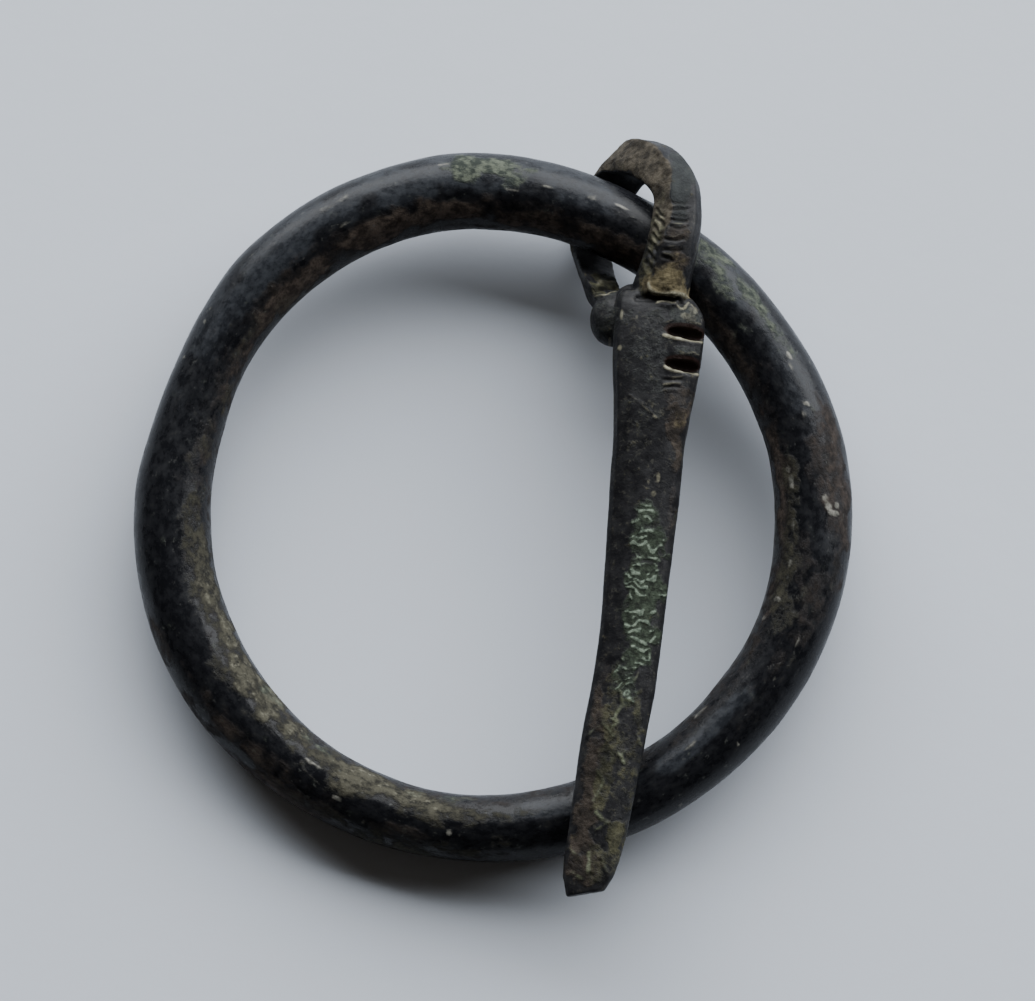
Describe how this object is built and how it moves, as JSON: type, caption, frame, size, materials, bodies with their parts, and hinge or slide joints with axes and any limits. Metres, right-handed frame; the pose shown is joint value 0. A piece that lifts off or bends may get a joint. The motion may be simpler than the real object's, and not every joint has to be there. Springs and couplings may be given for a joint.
{
  "type": "annular brooch",
  "caption": "Closed round ring of cast copper alloy with a long pin hung on it by a loop; the pin swings across the ring.",
  "frame": {"origin": "middle of the bounding box, on the plane the brooch lies on", "axes": "+Z out of the face of the ring, +Y from the pin's tip towards its loop"},
  "size_m": [0.042, 0.0452, 0.0082],
  "materials": {
    "ring_metal": "black to dark blue-green patina, half gloss, with earthy deposits",
    "pin_metal": "dark brown-black patina, dull, with sage-green corrosion"
  },
  "bodies": {
    "ring": {"ring_frame": "ring_metal"},
    "pin": {"pin": "pin_metal"}
  },
  "joints": [
    {"name": "pin_swing", "type": "hinge", "parent": "ring", "child": "pin", "pos_m": [0.00866, 0.01655, 0.00406], "axis": [-0.8637, 0.504, 0.0023], "range_deg": [0, 345]}
  ]
}
